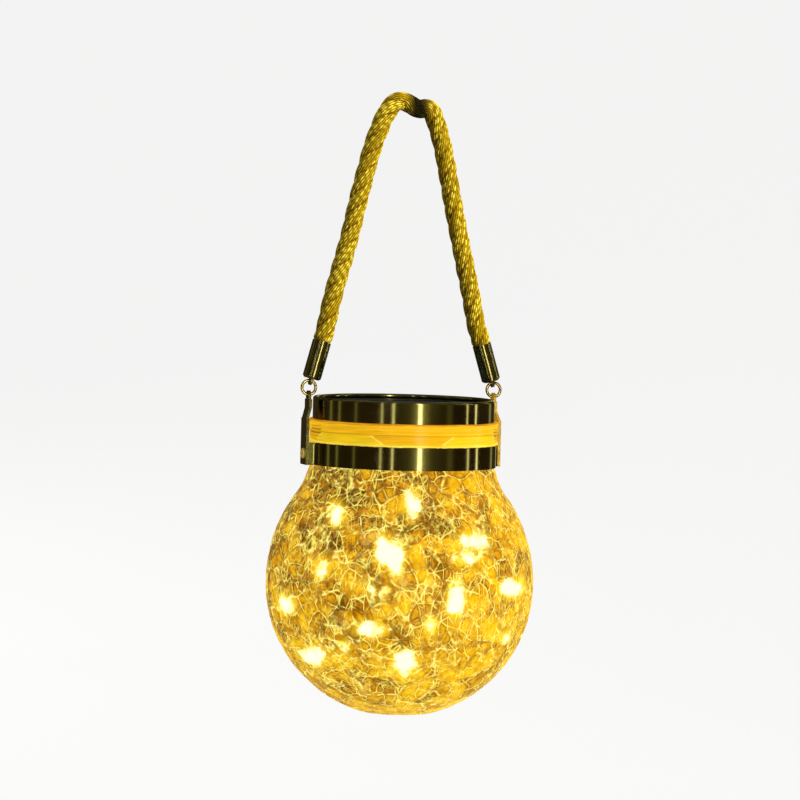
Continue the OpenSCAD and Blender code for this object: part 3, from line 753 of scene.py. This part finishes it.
def dented(points, on_outside):
    """The wall's points with crack grooves outside and a slow wave on both faces."""
    top, bottom = BAND_BOTTOM - 1 * MM, JAR_LO.z + 3 * MM
    free = (points[:, 2] < top) & (points[:, 2] > bottom)
    tree = crack_cells()
    radial = points - np.array((0, 0, GLOBE_Z))
    radial /= np.linalg.norm(radial, axis=1)[:, None]
    depth = np.zeros(len(points))
    for i in np.nonzero(free & on_outside)[0]:
        (_, _, d1), (_, _, d2) = tree.find_n(points[i], 2)
        edge = (d2 - d1) / GROOVE_WIDTH
        depth[i] = -GROOVE_DEPTH * math.exp(-edge * edge)
    wave = (np.sin(points[:, 0] * 210 + 1.0) * np.sin(points[:, 1] * 190 + 0.4)
            * np.sin(points[:, 2] * 230))
    depth += np.where(free, WAVE_HEIGHT * wave, 0)
    fade = np.clip((top - points[:, 2]) / FADE_H, 0, 1)
    fade *= np.clip((points[:, 2] - bottom) / FADE_H, 0, 1)
    return points + radial * (depth * fade)[:, None]


def make_glass():
    outer, inner = jar_profile()
    columns = 400
    outer, inner = resample(outer, 0.95 * MM), resample(inner, 1.5 * MM)
    outline = np.concatenate([outer, inner[::-1]])
    angle = 2 * np.pi * np.arange(columns) / columns
    rings = np.stack([
        outline[:, None, 0] * np.cos(angle)[None, :],
        outline[:, None, 0] * np.sin(angle)[None, :],
        np.broadcast_to(outline[:, None, 1], (len(outline), columns))], axis=-1)
    points = rings.reshape(-1, 3)
    on_outside = np.repeat(np.arange(len(outline)) < len(outer), columns)
    points = dented(points, on_outside)
    rows = len(outline)
    faces = grid_faces(rows, columns)
    jar = mesh_object("crackle_globe", points, [f[::-1] for f in faces])
    close_ring_ends(jar, rows, columns)
    add_attribute(jar, "glow", glow_at(points))
    jar.data.materials.append(glass_material("crackle_glass", 0.0, 0.86, 1.0))
    jar.data.materials.append(glass_material("crackle_glass_inside", 0.37, 0.72, 1.0))
    inside = len(outer) * columns
    for polygon in jar.data.polygons:
        polygon.material_index = 1 if min(polygon.vertices) >= inside else 0
    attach(jar, "jar_body")
    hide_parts("glass_jar")


def close_ring_ends(obj, rows, columns):
    """Joins the first and last rings, so that the wall is one closed skin."""
    mesh = bmesh.new()
    mesh.from_mesh(obj.data)
    mesh.verts.ensure_lookup_table()
    last = (rows - 1) * columns
    for k in range(columns):
        m = (k + 1) % columns
        mesh.faces.new([mesh.verts[i] for i in (k, m, last + m, last + k)][::-1]).smooth = True
    bmesh.ops.recalc_face_normals(mesh, faces=mesh.faces)
    mesh.to_mesh(obj.data)
    mesh.free()


# ---- Studio ----
FLOOR_BELOW_JAR = 0.16
FLOOR_FLAT_R = 0.9
CURVE_R = 2.2
LIGHT_AIM = Vector((0, 0, -0.13))


def make_stage():
    """A pale floor that curves up into a wall all round, so that no edge shows."""
    floor_z = JAR_LO.z - FLOOR_BELOW_JAR
    outline = [(0.3, 0), (0.6, 0), (FLOOR_FLAT_R, 0)]
    outline += [(FLOOR_FLAT_R + CURVE_R * math.sin(t), CURVE_R - CURVE_R * math.cos(t))
                for t in np.linspace(0.08, math.pi / 2, 16)]
    outline += [(3.1, 2.8)]
    columns = 96
    angle = 2 * np.pi * np.arange(columns) / columns
    points = [(r * math.cos(a), r * math.sin(a), floor_z + h) for r, h in outline for a in angle]
    disc = [list(range(columns))]
    stage = mesh_object("studio_floor", points, grid_faces(len(outline), columns) + disc)
    s = Shader("studio_paper", Roughness=0.9)
    paper = s.noise(s.place(), 3.0, 2, 0.5)[0]
    s.set("Base Color", s.mix(paper, (0.06, 0.06, 0.06), (0.07, 0.07, 0.07)))
    s.set("Emission Color", (1, 1, 1, 1))
    s.set("Emission Strength", 0.862)
    stage.data.materials.append(s.material)
    stage.visible_glossy = stage.visible_diffuse = False


def soft_box(name, azimuth, height, width, length, power, colour, distance=1.5):
    """An area light that faces the lantern; azimuth 0 is in front, 90 to the right."""
    data = bpy.data.lights.new(name, "AREA")
    data.shape = "RECTANGLE"
    data.size, data.size_y = width, length
    data.energy = power
    data.color = colour
    light = bpy.data.objects.new(name, data)
    a = math.radians(azimuth)
    place = Vector((math.sin(a) * distance, -math.cos(a) * distance, height))
    light.location = place
    light.rotation_euler = (LIGHT_AIM - place).to_track_quat("-Z", "Y").to_euler()
    light.visible_camera = light.visible_glossy = False
    bpy.context.scene.collection.objects.link(light)


# Strips of light that the metal mirrors: azimuth and half width in degrees, and brightness
STRIPS = [
    (-148, 9.0, 0.05), (-104, 2.5, 0.40), (-88, 1.8, 0.50), (-62, 1.6, 0.35), (-27, 0.8, 4.0),
    (-12.6, 0.9, 5.5), (20.5, 2.0, 13.0), (21, 9.0, 0.35), (20, 34.0, 0.16), (60, 5.0, 0.15),
    (87, 1.0, 5.0), (103, 1.2, 6.5), (140, 3.0, 0.8), (170, 5.0, 1.0),
]


def make_reflection_tent():
    """A dark tent with strips of light, which only glossy surfaces see."""
    columns = 720
    angle = 2 * np.pi * np.arange(columns) / columns
    radius = 1.9
    heights = [-1.2, -0.5, 0.2, 0.9, 1.3]
    points = [(radius * math.sin(a), -radius * math.cos(a), h) for h in heights for a in angle]
    tent = mesh_object("reflection_tent", points, grid_faces(len(heights), columns))
    degrees = np.degrees(angle) - CAMERA_AZIMUTH
    level = np.zeros(columns)
    for middle, half_width, power in STRIPS:
        away = (degrees - middle + 180) % 360 - 180
        level += power * np.exp(-np.abs(away / half_width) ** 2.5)
    add_attribute(tent, "level", np.tile(level, len(heights)))
    s = Shader("tent_cloth", Roughness=1.0)
    s.set("Base Color", (0, 0, 0, 1))
    s.set("Specular IOR Level", 0.0)
    level = s.attribute("level")
    dim = s.mix(s.step(s.axes()[2], -0.6, 0.7), (0.055, 0.036, 0.014), (0.050, 0.048, 0.028))
    olive = s.mix(s.step(level, 0.02, 0.5), dim, (0.62, 0.60, 0.26))
    s.set("Emission Color", s.mix(s.step(level, 0.8, 3.0), olive, (1.0, 0.97, 0.80)))
    s.set("Emission Strength", s.math("MAXIMUM", level, 1.0))
    tent.data.materials.append(s.material)
    tent.visible_camera = tent.visible_diffuse = tent.visible_shadow = False
    tent.visible_transmission = False


def make_lights():
    front = CAMERA_AZIMUTH
    soft_box("key_box", front + 58, 0.30, 0.5, 0.8, 34, (1.0, 0.97, 0.90))
    soft_box("top_box", front + 20, 1.3, 0.8, 0.8, 12, (1.0, 0.98, 0.94), distance=0.4)
    soft_box("back_box", front + 205, 0.5, 0.6, 0.9, 20, (1.0, 0.97, 0.90))
    make_reflection_tent()
    world = bpy.data.worlds.new("studio")
    world.use_nodes = True
    world.node_tree.nodes["Background"].inputs[0].default_value = (1.0, 0.98, 0.94, 1)
    world.node_tree.nodes["Background"].inputs[1].default_value = 0.18
    bpy.context.scene.world = world
    bpy.context.scene.view_settings.view_transform = "Standard"


def dress_frame():
    steel = steel_material("brushed_steel", (0.20, 0.17, 0.060), (0.28, 0.25, 0.095))
    dark_brass = brass_material("dark_brass", (0.20, 0.17, 0.06), (0.28, 0.25, 0.09))
    dress(steel, "lid_rim", "neck_band")
    dress(dark_brass, "left_ferrule", "right_ferrule", "left_hanger", "left_spacer",
          "right_spacer")
    # The right hanger is a lit copy of the dark brass: lighter, with painted lamp glow from the jar
    dress(brass_material("lamp_lit_brass", (0.55, 0.36, 0.06), (0.80, 0.56, 0.12), 0.3,
                         (0.80, 0.46, 0.04), 0.22), "right_hanger")
    dress(brass_material("gold_wire", (0.62, 0.42, 0.12), (0.90, 0.70, 0.28), 0.18),
          "left_ring", "right_ring")
    # The rivets get a painted glint: lighter brass with a painted glow
    dress(brass_material("glinting_rivet_brass", (0.80, 0.55, 0.16), (0.95, 0.75, 0.32), 0.3,
                         (0.90, 0.60, 0.12), 0.25), "hanger_rivets")
    dress(collar_material(), "clear_collar")
    dress(plastic_material("white_silicone", (0.75, 0.70, 0.55), 0.5), "lid_seal")
    dress(plastic_material("black_plastic", (0.006, 0.006, 0.005), 0.5, shine=0.15), "top_plate",
          "switch_body", "board_parts")
    dress(plastic_material("white_plastic", (0.72, 0.66, 0.50), 0.4), "lid_housing",
          "battery_door", "switch_knob")
    dress(plastic_material("green_board", (0.01, 0.10, 0.03), 0.35), "solar_board",
          "circuit_board")
    dress(solar_material(), "solar_cells")
    dress(brass_material("tinned_copper", (0.62, 0.62, 0.60), (0.85, 0.85, 0.83)),
          "cell_ribbons")
    dress(resin_material(), "panel_cover")
    dress(plastic_material("battery_wrap", (0.02, 0.20, 0.07), 0.25), "battery")
    dress(brass_material("spring_steel", (0.45, 0.45, 0.44), (0.75, 0.75, 0.73)),
          "battery_spring", "battery_plate")
    dress(brass_material("screw_steel", (0.40, 0.40, 0.39), (0.70, 0.70, 0.68)),
          "housing_screws", "door_screw")
    dress(plastic_material("hookup_wire", (0.35, 0.01, 0.01), 0.3), "panel_leads",
          "battery_leads")
    dress(plastic_material("black_rubber", (0.010, 0.010, 0.010), 0.6), "lead_grommet")
    dress(plastic_material("clear_lead_tail", (0.62, 0.42, 0.14), 0.3), "lead_tail")


def solar_material():
    """Dark blue cells with crystal patches and fine silver fingers."""
    s = Shader("solar_cell", Roughness=0.22)
    crystal = s.cells(s.scaled(s.place(), (1, 1, 0.2)), 420)[1]
    tone = s.node("ShaderNodeSeparateColor", {0: crystal}).outputs[0]
    blue = s.mix(tone, (0.006, 0.010, 0.035), (0.016, 0.028, 0.085))
    fingers = s.math("FRACT", s.math("MULTIPLY", s.axes()[1], 520))
    line = s.step(s.math("ABSOLUTE", s.math("SUBTRACT", fingers, 0.5)), 0.0, 0.08, 1.0, 0.0)
    s.set("Base Color", s.mix(line, blue, (0.45, 0.46, 0.48)))
    s.set("Coat Weight", 0.4)
    return s.material


def resin_material():
    s = Shader("clear_resin", Roughness=0.06)
    s.set("Base Color", s.mix(wear(s, 90), (0.03, 0.035, 0.03), (0.06, 0.065, 0.05)))
    s.set("Alpha", s.step(wear(s, 150), 0.3, 0.7, 0.06, 0.14))
    s.bump(s.noise(s.place(), 160, 2, 0.5)[0], 0.15, 0.0004)
    return s.material


make_camera()
make_rope()
make_light_string()
make_lead()
make_glass()
dress_frame()
make_stage()
make_lights()
